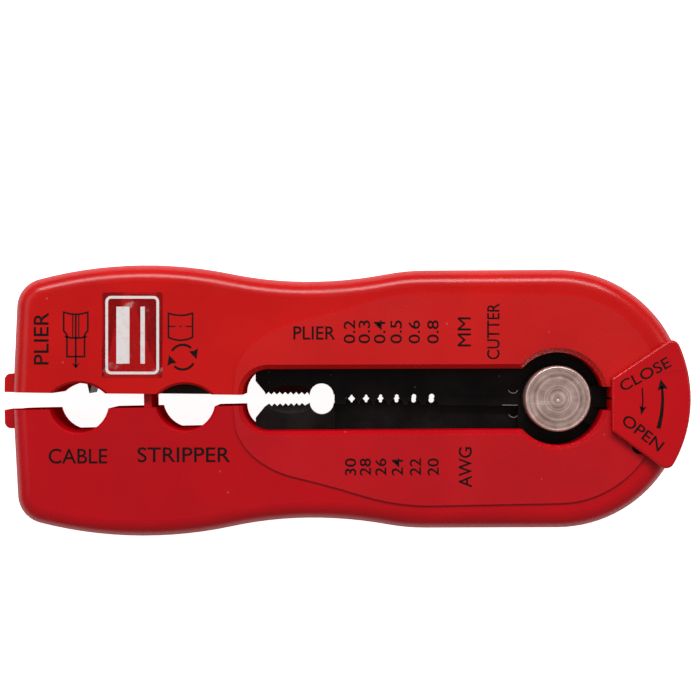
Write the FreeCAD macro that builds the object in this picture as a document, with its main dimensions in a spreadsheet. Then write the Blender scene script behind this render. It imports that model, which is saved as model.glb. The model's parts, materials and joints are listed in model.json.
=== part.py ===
"""Compact wire stripper: two hinged half bodies, lapped steel blades, cable blades and a lock lever.

Every piece is drawn round the hinge axis with the tool closed, the front face up and the head
towards -X. The placement then moves the hinge along X, so that the origin is under the middle of
the tool, and turns the two halves apart to the open rest position. Units are millimetres.
"""
import FreeCAD
import Part
import math
import os
import Sketcher

V = FreeCAD.Vector
UPPER = 1
LOWER = -1

# Driving dimensions: alias, value, what it is.
SIZES = [
    ("pivot_x", 38.8, "hinge axis, ahead of the middle of the tool"),
    ("open_angle", 1.675, "angle between the halves at rest, degrees"),
    # outline of one half
    ("rear_radius", 23.65, "rounded rear end"),
    ("rear_relief", 1.3, "angle of the rear parting edge, degrees"),
    ("side_slope", 0.93, "slope of the straight flank, degrees"),
    ("side_length", 24.1, "length of the straight flank"),
    ("parting_gap", 0.15, "each parting edge from the centreline"),
    ("front_x", -99.7, "front edge"),
    ("wall", 2.0, "shell wall"),
    # levels through the thickness
    ("back_panel", 0.0, "face of the raised back panel"),
    ("back_border", 0.4, "face of the back border"),
    ("back_inner", 2.4, "inside of the back wall"),
    ("back_ledge", 7.4, "top of the walls round the back opening"),
    ("middle", 10.0, "joint between back and front shell"),
    ("front_ledge", 11.6, "foot of the walls round the front opening"),
    ("front_inner", 17.4, "inside of the front wall"),
    ("front_border", 19.4, "face of the front border"),
    ("front_panel", 19.8, "face of the raised front panel"),
    ("hub_low", 6.2, "floor of the room round the blade hubs"),
    ("hub_high", 13.1, "roof of the room round the blade hubs"),
    ("edge_radius", 3.0, "rounding of the long outer edges"),
    ("joint_bevel", 0.2, "bevel of each shell at the joint between them"),
    # openings
    ("slot_end_x", -57.5, "left end of the front opening"),
    ("slot_end_radius", 4.6, "rounding of the left end"),
    ("slot_half", 4.9, "half height at the left end"),
    ("slot_half_rear", 5.5, "half height beside the hinge"),
    ("pivot_opening", 8.5, "radius of the opening round the hinge"),
    ("slot_rim", 1.8, "wall left round the openings"),
    ("opening_chamfer", 0.8, "chamfer round the openings"),
    ("notch_chamfer", 0.4, "chamfer round the cable notches"),
    ("hub_room", 13.5, "radius of the room round the blade hubs"),
    ("slit_hole_x", -87.4, "cable hole for slitting"),
    ("ring_hole_x", -68.0, "cable hole for cutting round"),
    # blades
    ("lower_plate_low", 7.5, "back face of the lower blade"),
    ("lower_plate_high", 9.45, "lapping face of the lower blade"),
    ("upper_plate_low", 9.55, "lapping face of the upper blade"),
    ("upper_plate_high", 11.5, "front face of the upper blade"),
    ("hub_radius", 10.5, "blade hub"),
    ("jaw_x", -55.5, "front end of the jaws"),
    ("lap", 1.5, "how far a blade passes the centreline"),
    ("notch_rise", 0.15, "how far the V of a stripping hole passes the centreline"),
    ("tooth_pitch", 1.03, "jaw serration pitch"),
    ("tooth_depth", 0.5, "jaw serration depth"),
    ("jaw_hole_radius", 2.25, "round hole behind the serrations"),
    ("dowel_radius", 1.5, "blade dowels"),
    # hinge
    ("pin_radius", 3.0, "shank of the hinge pin"),
    ("pin_head_radius", 6.0, "head of the hinge pin"),
    ("pin_head_low", 13.4, "underside of the pin head"),
    ("pin_head_high", 19.6, "face of the pin head"),
    ("bore_radius", 3.05, "running bore on the pin"),
    # lock lever
    ("lever_low", 20.05, "underside of the lever"),
    ("lever_high", 21.4, "face of the lever"),
    ("lever_radius", 24.0, "outer radius of the lever"),
    ("lever_inner_x", 9.6, "straight inner edge of the lever"),
    ("lever_inner_top", 3.7, "top corner of the inner edge"),
    ("lever_inner_bottom", -5.9, "bottom corner of the inner edge"),
    ("lever_top", 28.2, "angle of the top outer corner, degrees"),
    ("lever_bottom", -34.0, "angle of the bottom outer corner, degrees"),
    ("boss_inner", 16.0, "inner radius of the lever's boss"),
    ("boss_outer", 18.4, "outer radius of the lever's boss"),
    ("lock_low", 11.6, "back face of the lock plate"),
    ("lock_high", 12.8, "front face of the lock plate"),
    # screws
    ("screw_radius", 1.3, "case screw thread"),
    ("screw_head_radius", 2.5, "case screw head"),
    ("screw_boss_radius", 3.2, "boss round a case screw"),
    ("screw_tip", 15.5, "tip of a case screw"),
]

WAIST = [(-31.5, 22.5), (-46.0, 21.0), (-60.0, 22.3), (-95.2, 20.95), (-99.15, 16.1)]
PANEL_EDGE = [(-36.0, 16.9), (-48.3, 13.3), (-55.0, 10.0), (-58.8, 4.4)]
PANEL_FRONT_X = -59.2
PANEL_RADIUS = 19.0
CASE_SCREWS = [(-93.0, 14.0), (-60.5, 15.8), (-27.0, 15.6), (8.0, 15.6)]
DOWELS = [(-48.0, 8.3), (-20.0, 8.3)]
STRIP_HOLES = [(-37.6, 0.38), (-34.9, 0.48), (-32.2, 0.6), (-29.2, 0.72), (-26.0, 0.88),
               (-22.7, 1.05)]
UPPER_NOTCH = (7.1, 2.0)
LOWER_NOTCH = (5.5, 4.5)
CABLE_BLADE = (12.3, 8.6)
BLADE_HOLE_Y = 5.2
SLIT_BLADE_X = -85.8
BOSS_ANGLES = (-29.0, -23.0)        # the lever's boss at rest, round the hinge, in degrees
BOSS_SLOT_ANGLES = (9.5, 31.0)      # its slot in the lower half, measured away from the middle
JAW_END_X = -40.9
RELIEF_X = -48.8
RELIEF_RADIUS = 9.3
RELIEF_DROP = 1.9
RELIEF_DEPTH = 1.1
RELIEF_TAPER = -58.0

doc = FreeCAD.newDocument("wire_stripper")
sheet = doc.addObject("Spreadsheet::Sheet", "sizes")
for row, (alias, value, meaning) in enumerate(SIZES, start=1):
    sheet.set(f"A{row}", alias)
    sheet.set(f"B{row}", str(value))
    sheet.set(f"C{row}", meaning)
    sheet.setAlias(f"B{row}", alias)
doc.recompute()


def size(alias):
    return float(getattr(sheet, alias))


def polar(radius, degrees):
    angle = math.radians(degrees)
    return (radius * math.cos(angle), radius * math.sin(angle))


# ---------------------------------------------------------------- profiles
# A profile is a list of segments: two points for a line, three for an arc.

def line(start, end):
    return [start, end]


def arc(radius, start, end, centre=(0.0, 0.0)):
    """Arc round a centre between two angles in degrees."""
    angles = (start, (start + end) / 2, end)
    return [(centre[0] + polar(radius, a)[0], centre[1] + polar(radius, a)[1]) for a in angles]


def polygon(points):
    return [line(points[i - 1], points[i]) for i in range(len(points))]


def box(left, bottom, right, top):
    return polygon([(left, bottom), (right, bottom), (right, top), (left, top)])


def circle(x, y, radius):
    return [arc(radius, 0, 180, (x, y)), arc(radius, 180, 360, (x, y))]


def tangent_chain(start, heading, ends, inset):
    """Arcs that each run on tangent to the last, moved to their left by inset."""
    segments = []
    for end in ends:
        run = (end[0] - start[0], end[1] - start[1])
        chord = math.degrees(math.atan2(run[1], run[0]))
        chord += 360 * round((heading - chord) / 360)
        rise = math.hypot(*run) / 2 * math.tan(math.radians(chord - heading) / 2)
        side = polar(rise, chord - 90)
        middle = ((start[0] + end[0]) / 2 + side[0], (start[1] + end[1]) / 2 + side[1])
        leaving = 2 * chord - heading
        segment = []
        for place, direction in ((start, heading), (middle, chord), (end, leaving)):
            step = polar(inset, direction + 90)
            segment.append((place[0] + step[0], place[1] + step[1]))
        segments.append(segment)
        start = end
        heading = leaving
    return segments


def half_outline(inset=0.0):
    """Outline of the upper half, moved inwards by inset."""
    radius = size("rear_radius")
    level = size("parting_gap") + inset
    slope = size("side_slope")
    rear = math.degrees(math.asin(level / (radius - inset))) + size("rear_relief")
    flank = polar(radius, 90 + slope)
    run = polar(size("side_length"), 180 + slope)
    shoulder = (flank[0] + run[0], flank[1] + run[1])
    sides = tangent_chain(shoulder, 180 + slope, WAIST, inset)
    front = (size("front_x") + inset, level)
    return ([arc(radius - inset, rear, 90 + slope)]
            + [line(polar(radius - inset, 90 + slope), sides[0][0])]
            + sides
            + [line(sides[-1][-1], front), line(front, (0.0, level))]
            + [line((0.0, level), polar(radius - inset, rear))])


def panel_outline():
    """Raised panel of the upper half, inside the border."""
    level = size("parting_gap")
    rear = math.degrees(math.asin(level / PANEL_RADIUS)) + size("rear_relief")
    corner = (-23.0, PANEL_RADIUS)
    edge = tangent_chain(corner, 180.0, PANEL_EDGE, 0.0)
    front = (PANEL_FRONT_X, level)
    return ([arc(PANEL_RADIUS, rear, 90), line((0.0, PANEL_RADIUS), corner)] + edge
            + [line(edge[-1][-1], front), line(front, (0.0, level))]
            + [line((0.0, level), polar(PANEL_RADIUS, rear))])


def slot_outline(grow, low):
    """Upper half of the long opening, from the level low up, grown by grow."""
    left = size("slot_end_x") - grow
    half = size("slot_half") + grow
    rear = size("slot_half_rear") + grow
    radius = size("slot_end_radius") + grow
    centre = (left + radius, half - radius)
    return [line((left, low), (left, centre[1])),
            arc(radius, 180, 90, centre),
            line((centre[0], half), (-5.0, rear)),
            line((-5.0, rear), (-5.0, low)),
            line((-5.0, low), (left, low))]


def round_opening(radius, low):
    """Upper part of the round opening above the level low."""
    start = math.degrees(math.asin(low / radius))
    return [arc(radius, start, 180 - start), line(polar(radius, 180 - start), polar(radius, start))]


def notch_outline(x, notch, grow, low):
    """Cable notch above the level low: a circle of which only the depth shows."""
    radius, depth = notch[0] + grow, notch[1] + grow
    centre = (x, depth - radius)
    start = math.degrees(math.asin((low - centre[1]) / radius))
    return [arc(radius, start, 180 - start, centre),
            line(arc(radius, 180 - start, 90, centre)[0], arc(radius, start, 90, centre)[0])]


def arc_slot(inner, outer, start, end):
    """Curved slot round the hinge with rounded ends."""
    middle = (inner + outer) / 2
    cap = (outer - inner) / 2
    return [arc(outer, start, end), arc(cap, end, end + 180, polar(middle, end)),
            arc(inner, end, start), arc(cap, start + 180, start + 360, polar(middle, start))]


# ---------------------------------------------------------------- features

def new_body(name):
    body = doc.addObject("PartDesign::Body", name)
    body.Label = name
    return body


def level_of(body, plane, name, expression):
    """Sketch on one of the body's own planes, at a height bound to the sheet."""
    sketch = body.newObject("Sketcher::SketchObject", name)
    support = [f for f in body.Origin.OriginFeatures if f.Role == plane][0]
    sketch.AttachmentSupport = [(support, "")]
    sketch.MapMode = "FlatFace"
    sketch.setExpression("AttachmentOffset.Base.z", expression)
    return sketch


def draw(sketch, profiles, side):
    for profile in profiles:
        for segment in profile:
            points = [V(x, y * side, 0) for x, y in segment]
            if len(points) == 2:
                sketch.addGeometry(Part.LineSegment(*points), False)
            else:
                sketch.addGeometry(Part.Arc(*points), False)


def draw_rounds(sketch, places, radius, side):
    """Circles whose radius is an expression on the sheet."""
    for x, y in places:
        index = sketch.addGeometry(Part.Circle(V(x, y * side, 0), V(0, 0, 1), 1.0), False)
        rule = sketch.addConstraint(Sketcher.Constraint("Radius", index, 1.0))
        sketch.setExpression(f"Constraints[{rule}]", radius)


def cells(text):
    """Turn 'wall + 1' into an expression on the sheet."""
    words = text.split()
    return " ".join("sizes." + w if w[0].isalpha() else w for w in words)


def feature(body, kind, name, low, high, profiles=(), side=UPPER, rounds=None):
    """Pad or pocket between two levels; rounds is (places, radius)."""
    before = body.Shape.Volume if body.Tip else 0.0
    base = low if kind == "Pad" else high
    sketch = level_of(body, "XY_Plane", name + "_sketch", cells(base))
    draw(sketch, profiles, side)
    if rounds:
        draw_rounds(sketch, rounds[0], cells(rounds[1]), side)
    result = body.newObject("PartDesign::" + kind, name)
    result.Profile = sketch
    result.setExpression("Length", f"{cells(high)} - ({cells(low)})")
    doc.recompute()
    change = body.Shape.Volume - before
    if change * (1 if kind == "Pad" else -1) < 0.01:
        raise RuntimeError(f"{body.Label}: {name} {result.State} changed the volume by {change:.3f}")
    return result


def pad(body, name, low, high, profiles=(), side=UPPER, rounds=None):
    return feature(body, "Pad", name, low, high, profiles, side, rounds)


def pocket(body, name, low, high, profiles=(), side=UPPER, rounds=None):
    return feature(body, "Pocket", name, low, high, profiles, side, rounds)


def dress(body, kind, name, bound, expression, wanted):
    """Fillet or chamfer on the edges for which wanted(edge) is true."""
    tip = body.Tip
    edges = [f"Edge{i}" for i, e in enumerate(tip.Shape.Edges, start=1) if wanted(e)]
    result = body.newObject("PartDesign::" + kind, name)
    result.Base = (tip, edges)
    result.setExpression(bound, expression)
    doc.recompute()
    if "Invalid" in result.State or not edges:
        raise RuntimeError(f"{body.Label}: {name} failed on {edges}")
    return result


def place(item, side=0):
    """Move the hinge to its place and turn a half (or nothing) to the open position."""
    item.Placement = FreeCAD.Placement(V(size("pivot_x"), 0, 0), FreeCAD.Rotation(V(0, 0, 1), 0))
    item.setExpression("Placement.Base.x", "sizes.pivot_x")
    if side:
        item.setExpression("Placement.Rotation.Angle", f"{-side} * sizes.open_angle / 2")
        item.setExpression("Placement.Rotation.Axis.z", "1")
    return item


# ---------------------------------------------------------------- shells

class Face:
    """Names of the levels of one shell, from the parting joint outwards."""

    def __init__(self, name, border, panel, inner, ledge, room):
        self.name = name
        self.border = border
        self.panel = panel
        self.inner = inner
        self.ledge = ledge
        self.room = room

    def span(self, near, far):
        """Two levels in rising order: near is on the joint's side."""
        return (near, far) if self.name == "front" else (far, near)


FRONT = Face("front", "front_border", "front_panel", "front_inner", "front_ledge", "hub_high")
BACK = Face("back", "back_border", "back_panel", "back_inner", "back_ledge", "hub_low")


def outer_edge(level, front_x):
    """True for the edges that go round the outside of a face."""
    def wanted(edge):
        middle = edge.valueAt((edge.FirstParameter + edge.LastParameter) / 2)
        flat = all(abs(v.Z - level) < 1e-6 for v in edge.Vertexes)
        return flat and (abs(middle.y) > 3.0 or middle.x < front_x + 1.0)
    return wanted


def rim_edge(level):
    """True for the edges of the long opening and the hinge opening in a face."""
    def wanted(edge):
        middle = edge.valueAt((edge.FirstParameter + edge.LastParameter) / 2)
        flat = all(abs(v.Z - level) < 1e-6 for v in edge.Vertexes)
        parting = edge.BoundBox.YLength < 0.9 and abs(middle.y) < 0.7
        along = size("slot_end_x") < middle.x < 0 and abs(middle.y) < size("slot_half_rear")
        around = math.hypot(middle.x, middle.y) < size("pivot_opening") + 0.1
        return flat and (along or around) and not parting
    return wanted


def notch_edge(level, radius):
    """True for the round edges of the cable notches in a face."""
    def wanted(edge):
        flat = all(abs(v.Z - level) < 1e-6 for v in edge.Vertexes)
        return flat and hasattr(edge.Curve, "Radius") and abs(edge.Curve.Radius - radius) < 1e-6
    return wanted


def make_shell(side, face):
    """One of the four moulded shells."""
    half = "upper" if side == UPPER else "lower"
    body = new_body(f"{half}_{face.name}_shell")
    gap = size("parting_gap")
    notch = UPPER_NOTCH if side == UPPER else LOWER_NOTCH
    solid = face.span("middle", face.border)
    hollow = face.span("middle", face.inner)

    pad(body, "outline", *solid, [half_outline()], side)
    dress(body, "Fillet", "long_edges", "Radius", "sizes.edge_radius",
          outer_edge(size(face.border), size("front_x")))
    dress(body, "Chamfer", "joint_bevel", "Size", "sizes.joint_bevel",
          outer_edge(size("middle"), size("front_x")))
    pocket(body, "hollow", *hollow, [half_outline(size("wall"))], side)
    pad(body, "opening_wall", *face.span(face.ledge, face.inner),
        [slot_outline(size("slot_rim"), gap)], side)
    pad(body, "hinge_wall", *face.span(face.room, face.inner),
        [round_opening(size("pivot_opening") + size("slot_rim"), gap + 0.25)], side)
    for name, x, left, right in (("slit", size("slit_hole_x"), -96.0, -79.4),
                                 ("ring", size("ring_hole_x"), -77.6, -59.4)):
        pad(body, name + "_block", *hollow, [box(left, gap, right, notch[1] + 8.2)], side)
    pad(body, "screw_bosses", *hollow, side=side, rounds=(CASE_SCREWS, "screw_boss_radius"))
    jaw_side = "upper_plate_high + 0.05" if face is FRONT else "lower_plate_low - 0.05"
    pad(body, "jaw_dowel_boss", *face.span(jaw_side, face.inner), side=side,
        rounds=(DOWELS[:1], "dowel_radius + 1.1"))
    plate_side = f"{half}_plate_high + 0.05" if face is FRONT else f"{half}_plate_low - 0.05"
    if size(plate_side.split()[0]) < size("middle") and face is FRONT:
        plate_side = "middle"
    pad(body, "plate_dowel_boss", *face.span(plate_side, face.inner), side=side,
        rounds=(DOWELS[1:], "dowel_radius + 1.1"))
    pad(body, "panel", *face.span(face.border, face.panel), [panel_outline()], side)
    pad(body, "nose", *face.span("middle", "middle + 5" if face is FRONT else "middle - 5"),
        [nose_outline()], side)
    return finish_shell(body, side, face, notch)


def nose_outline():
    """Gripping nose beside the parting edge, with one rounded corner."""
    gap = size("parting_gap")
    left = size("front_x") - 1.9
    radius = 1.2
    top = 3.6
    return [line((left, gap), (left, top - radius)),
            arc(radius, 180, 90, (left + radius, top - radius)),
            line((left + radius, top), (size("front_x") + 1.0, top)),
            line((size("front_x") + 1.0, top), (size("front_x") + 1.0, gap)),
            line((size("front_x") + 1.0, gap), (left, gap))]


def finish_shell(body, side, face, notch):
    """Cut the openings, holes and slots of a shell."""
    whole = face.span("middle", face.panel)
    hollow = face.span("middle", face.inner)
    pocket(body, "opening", *whole, [slot_outline(0.0, -1.0)], side)
    pocket(body, "hinge_opening", *whole, side=side, rounds=([(0.0, 0.0)], "pivot_opening"))
    pocket(body, "hub_room", *face.span("middle", face.room), side=side,
           rounds=([(0.0, 0.0)], "hub_room"))
    dress(body, "Chamfer", "opening_chamfer", "Size", "sizes.opening_chamfer",
          rim_edge(size(face.panel)))
    holes = [notch_outline(size(x), notch, 0.0, -0.5) for x in ("slit_hole_x", "ring_hole_x")]
    pocket(body, "cable_notches", *whole, holes, side)
    dress(body, "Chamfer", "notch_chamfer", "Size", "sizes.notch_chamfer",
          notch_edge(size(face.border), notch[0]))
    deep = face.span("middle", "front_inner - 0.9" if face is FRONT else "back_inner + 0.9")
    pocket(body, "dowel_holes", *deep, side=side, rounds=(DOWELS, "dowel_radius"))
    if face is FRONT:
        pocket(body, "screw_holes", "middle", "screw_tip + 0.3", side=side,
               rounds=(CASE_SCREWS, "screw_radius"))
        pocket(body, "tab_notch", "hub_high", "front_panel",
               [box(7.0, -2.3, 9.6, 2.3)], side)
    else:
        pocket(body, "screw_holes", "back_panel", "middle", side=side,
               rounds=(CASE_SCREWS, "screw_radius + 0.2"))
        pocket(body, "screw_seats", "back_panel", "back_border + 3.2", side=side,
               rounds=(CASE_SCREWS, "screw_head_radius + 0.2"))
    if (side, face) == (LOWER, BACK):
        flats = [box(size(x) - 2.2, notch[1] - 0.35, size(x) + 2.2, notch[1] + 1.0)
                 for x in ("slit_hole_x", "ring_hole_x")]
        pad(body, "anvils", face.border, "middle", flats, side)
    if side == LOWER:
        pad(body, "guide_tongue", *hollow, [box(-75.65, -5.0, -74.25, 1.0)], side)
        if face is FRONT:
            slot = arc_slot(size("boss_inner") - 0.3, size("boss_outer") + 0.3, *BOSS_SLOT_ANGLES)
            pocket(body, "lever_slot", "middle", "front_panel", [slot], side)
    else:
        roof = "front_inner + 0.5" if face is FRONT else "back_inner - 0.5"
        pocket(body, "guide_slot", *face.span("middle", roof),
               [box(-76.2, -1.0, -73.8, 6.2)], side)
        cut_cable_blade_seats(body, face, hollow)
    return place(body, side)


def cut_cable_blade_seats(body, face, hollow):
    """Seats in the head of the upper half for the two cable blades."""
    width = CABLE_BLADE[1]
    pocket(body, "slitting_blade_slot", *hollow,
           [box(SLIT_BLADE_X - 0.55, -1.0, SLIT_BLADE_X + 0.55, width + 0.4)])
    groove = level_of(body, "YZ_Plane", "pin_groove_sketch", f"{SLIT_BLADE_X} - 5")
    draw_rounds(groove, [(BLADE_HOLE_Y, size("middle"))], "1.22", UPPER)
    cut = body.newObject("PartDesign::Pocket", "pin_groove")
    cut.Profile = groove
    cut.Length = 10.0
    cut.Reversed = True
    middle = size("ring_hole_x")
    reach = CABLE_BLADE[0] / 2 + 0.15
    if face is FRONT:
        pocket(body, "ring_blade_seat", "middle", "middle + 6.2",
               [box(middle - reach, -1.0, middle + reach, width + 0.4)])
    else:
        pad(body, "ring_blade_stand", "middle - 1", "middle + 3.55",
            [box(middle - reach + 0.3, 2.5, middle + reach - 0.3, width)])
        pocket(body, "ring_screw_hole", "middle - 2", "middle + 3.55",
               rounds=([(middle, BLADE_HOLE_Y)], "1.25"))


# ---------------------------------------------------------------- blades

def teeth(side):
    """Serrated edge of one jaw, from the front end to the round hole."""
    pitch = size("tooth_pitch")
    depth = size("tooth_depth")
    gap = 0.1
    left = size("jaw_x")
    points = [(left, 2.6), (left + 1.7, gap + depth)]
    shift = pitch / 2 if side == LOWER else 0.0
    x = left + 1.9 + shift
    while x < -45.9:
        points += [(x, gap), (x + pitch / 2, gap + depth)]
        x += pitch
    return points


def jaw_outline(side):
    """Thick jaw in front: chamfered nose, serrations and half of the round hole."""
    hole = size("jaw_hole_radius")
    centre = -43.2
    edge = teeth(side)
    start = math.degrees(math.asin(0.1 / hole))
    outline = [line((size("jaw_x"), size("hub_radius")), edge[0])]
    outline += [line(a, b) for a, b in zip(edge, edge[1:])]
    outline += [line(edge[-1], (centre - hole * math.cos(math.radians(start)), 0.1))]
    outline += [arc(hole, 180 - start, start, (centre, 0.0))]
    outline += [line(outline[-1][-1], (JAW_END_X, 0.1)),
                line((JAW_END_X, 0.1), (JAW_END_X, size("hub_radius"))),
                line((JAW_END_X, size("hub_radius")), (size("jaw_x"), size("hub_radius")))]
    return outline


def plate_outline():
    """Lapping plate from the jaw to the hinge, its edge past the centreline."""
    lap = -size("lap")
    flare = 1.2
    rise = size("notch_rise")
    own, nose, step = JAW_END_X - 0.1, JAW_END_X + 0.1, JAW_END_X + 0.5
    points = [(own, size("hub_radius")), (own, 0.3), (nose, 0.3), (nose, -1.0), (step, lap + 0.1),
              (step, lap)]
    for x, bore in STRIP_HOLES:
        points += [(x - flare, lap), (x - flare, rise - flare), (x, rise), (x + flare, rise - flare),
                   (x + flare, lap)]
    points += [(0.0, lap), (0.0, size("hub_radius"))]
    return polygon(points)


def make_blade(side):
    """Steel blade: hub, lapping plate with graded holes, and thick serrated jaw."""
    half = "upper" if side == UPPER else "lower"
    low, high = f"{half}_plate_low", f"{half}_plate_high"
    body = new_body(f"{half}_stripping_blade")
    pad(body, "plate", low, high, [plate_outline()], side)
    pad(body, "hub", low, high, side=side, rounds=([(0.0, 0.0)], "hub_radius"))
    pad(body, "jaw", "lower_plate_low", "upper_plate_high", [jaw_outline(side)], side)
    relief = pocket(body, "jaw_relief", f"upper_plate_high - {RELIEF_DEPTH}", "upper_plate_high",
                    [circle(RELIEF_X, RELIEF_DROP - RELIEF_RADIUS, RELIEF_RADIUS)], side)
    relief.TaperAngle = RELIEF_TAPER
    doc.recompute()
    for number, (x, bore) in enumerate(STRIP_HOLES, start=1):
        pocket(body, f"strip_hole_{number}", low, high, [circle(x, 0.0, bore / 2)], side)
    pocket(body, "dowel_holes", "lower_plate_low", "upper_plate_high", side=side,
           rounds=(DOWELS, "dowel_radius"))
    bore = "bore_radius" if side == UPPER else "pin_radius + 0.02"
    pocket(body, "bore", low, high, side=side, rounds=([(0.0, 0.0)], bore))
    if side == UPPER:
        pocket(body, "hub_step", low, high, [box(-11.0, -11.0, -6.6, -size("lap"))])
    dimple = (-7.6, 1.75) if side == UPPER else (-7.4, 2.6)
    pocket(body, "dimple", f"{high} - 0.6", high, side=side, rounds=([dimple], "0.9"))
    return place(body, side)


def make_cable_blades():
    """Replaceable blades in the head of the upper half, with their pin and screw."""
    length, width = CABLE_BLADE
    slit = new_body("slitting_blade")
    thick = 0.5
    x = SLIT_BLADE_X
    pad(slit, "blade", "middle - 6.15", "middle + 6.15",
        [polygon([(x, 0.1), (x + thick, 2.1), (x + thick, width), (x - thick, width),
                  (x - thick, 2.1)])])
    hole = level_of(slit, "YZ_Plane", "hole_sketch", f"{x} - 1")
    draw_rounds(hole, [(BLADE_HOLE_Y, size("middle"))], "1.25", UPPER)
    bore = slit.newObject("PartDesign::Pocket", "hole")
    bore.Profile = hole
    bore.Length = 2.0
    bore.Reversed = True
    doc.recompute()

    ring = new_body("ring_blade")
    x = size("ring_hole_x")
    pad(ring, "blade", "middle + 3.6", "middle + 4.6",
        [box(x - length / 2, 1.2, x + length / 2, width)])
    pad(ring, "edge", "middle + 4.0", "middle + 4.6",
        [box(x - length / 2, 0.15, x + length / 2, 1.2)])
    pocket(ring, "hole", "middle + 3.6", "middle + 4.6", rounds=([(x, BLADE_HOLE_Y)], "1.3"))

    pin = new_body("slitting_blade_pin")
    core = level_of(pin, "YZ_Plane", "core_sketch", f"{SLIT_BLADE_X} - 4.9")
    draw_rounds(core, [(BLADE_HOLE_Y, size("middle"))], "1.2", UPPER)
    shank = pin.newObject("PartDesign::Pad", "core")
    shank.Profile = core
    shank.Length = 9.8
    doc.recompute()

    screw = new_body("ring_blade_screw")
    pad(screw, "shank", "middle + 0.4", "middle + 4.65", rounds=([(x, BLADE_HOLE_Y)], "1.25"))
    pad(screw, "head", "middle + 4.65", "middle + 5.9", rounds=([(x, BLADE_HOLE_Y)], "2.2"))
    return [place(item, UPPER) for item in (slit, ring, pin, screw)]


# ---------------------------------------------------------------- hinge

def make_hinge():
    """Pin, washers, nut and the wire spring that opens the tool."""
    centre = [(0.0, 0.0)]
    pin = new_body("pivot_pin")
    pad(pin, "shank", "lower_plate_low - 3.9", "pin_head_low", rounds=(centre, "pin_radius"))
    pad(pin, "head", "pin_head_low", "pin_head_high", rounds=(centre, "pin_head_radius"))

    wave = new_body("wave_washer")
    pad(wave, "ring", "lock_high + 0.1", "pin_head_low", rounds=(centre, "pin_head_radius - 0.4"))
    pocket(wave, "bore", "lock_high + 0.1", "pin_head_low", rounds=(centre, "bore_radius + 0.05"))

    washer = new_body("pivot_washer")
    pad(washer, "ring", "lower_plate_low - 0.9", "lower_plate_low - 0.05",
        rounds=(centre, "pin_head_radius + 0.8"))
    pocket(washer, "bore", "lower_plate_low - 0.9", "lower_plate_low - 0.05",
           rounds=(centre, "bore_radius + 0.05"))

    nut = new_body("pivot_nut")
    corners = [polar(5.77, angle) for angle in range(0, 360, 60)]
    pad(nut, "hexagon", "lower_plate_low - 4.1", "lower_plate_low - 0.95", [polygon(corners)])
    pocket(nut, "thread", "lower_plate_low - 4.1", "lower_plate_low - 0.95",
           rounds=(centre, "pin_radius"))
    return [place(item) for item in (pin, wave, washer, nut)]


def make_spring():
    """Hairpin spring: a wire round the back of the hinge with one leg in each half."""
    bend = 11.6
    level = 6.85
    wire = 0.45
    tip_x = -26.5
    tip_y = 12.15
    runs = [Part.LineSegment(V(tip_x, -tip_y, level), V(0, -bend, level)),
            Part.Arc(V(0, -bend, level), V(bend, 0, level), V(0, bend, level)),
            Part.LineSegment(V(0, bend, level), V(tip_x, tip_y, level))]
    path = Part.Wire([run.toShape() for run in runs])
    end = Part.Wire([Part.Circle(V(tip_x, -tip_y, level), V(1, 0, 0), wire).toShape()])
    spring = doc.addObject("Part::Feature", "return_spring")
    spring.Label = "return_spring"
    spring.Shape = path.makePipeShell([end], True, True)
    return place(spring)


# ---------------------------------------------------------------- lock lever

def make_lever():
    """Lock lever on the front: cover with a boss, steel plate round the pin, and a screw."""
    cover = new_body("lock_lever_cover")
    inner_x = size("lever_inner_x")
    outer = size("lever_radius")
    top, bottom = size("lever_top"), size("lever_bottom")
    high = (inner_x, size("lever_inner_top"))
    low = (inner_x, size("lever_inner_bottom"))
    pad(cover, "plate", "lever_low", "lever_high",
        [[arc(outer, bottom, top), line(polar(outer, top), high), line(high, low),
          line(low, polar(outer, bottom))]])
    dress(cover, "Fillet", "tips", "Radius", "1.6 mm",
          lambda e: e.BoundBox.ZLength > 1 and math.hypot(e.Vertexes[0].X, e.Vertexes[0].Y) > 20)
    dress(cover, "Fillet", "rounding", "Radius", "0.5 mm",
          lambda e: e.BoundBox.ZLength < 1e-6 and abs(e.Vertexes[0].Z - size("lever_high")) < 1e-6)
    boss = arc_slot(size("boss_inner"), size("boss_outer"), *BOSS_ANGLES)
    pad(cover, "boss", "lock_high", "lever_low", [boss])
    seat = polar((size("boss_inner") + size("boss_outer")) / 2, -26.5)
    pocket(cover, "thread", "lock_high", "lock_high + 4", rounds=([seat], "0.8"))

    plate = new_body("lock_plate")
    pad(plate, "ring", "lock_low", "lock_high", rounds=([(0.0, 0.0)], "pin_head_radius + 0.2"))
    pad(plate, "arm", "lock_low", "lock_high", [turned_bar(5.0, 18.4, 1.5, -26.5)])
    pad(plate, "latch", "lock_low", "lock_high", [turned_bar(5.0, 12.0, 1.9, 1.5)])
    pocket(plate, "bore", "lock_low", "lock_high", rounds=([(0.0, 0.0)], "bore_radius"))
    pocket(plate, "screw_hole", "lock_low", "lock_high", rounds=([seat], "0.85"))

    screw = new_body("lock_lever_screw")
    pad(screw, "head", "lock_low - 1", "lock_low", rounds=([seat], "1.5"))
    pad(screw, "shank", "lock_low", "lock_high + 3.6", rounds=([seat], "0.8"))
    return [place(item) for item in (cover, plate, screw)]


def turned_bar(start, end, half, angle):
    """Bar that points away from the hinge at an angle."""
    corners = [(start, -half), (end, -half), (end, half), (start, half)]
    reach = [(math.hypot(x, y), math.degrees(math.atan2(y, x)) + angle) for x, y in corners]
    return polygon([polar(radius, degrees) for radius, degrees in reach])


# ---------------------------------------------------------------- fasteners

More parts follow.
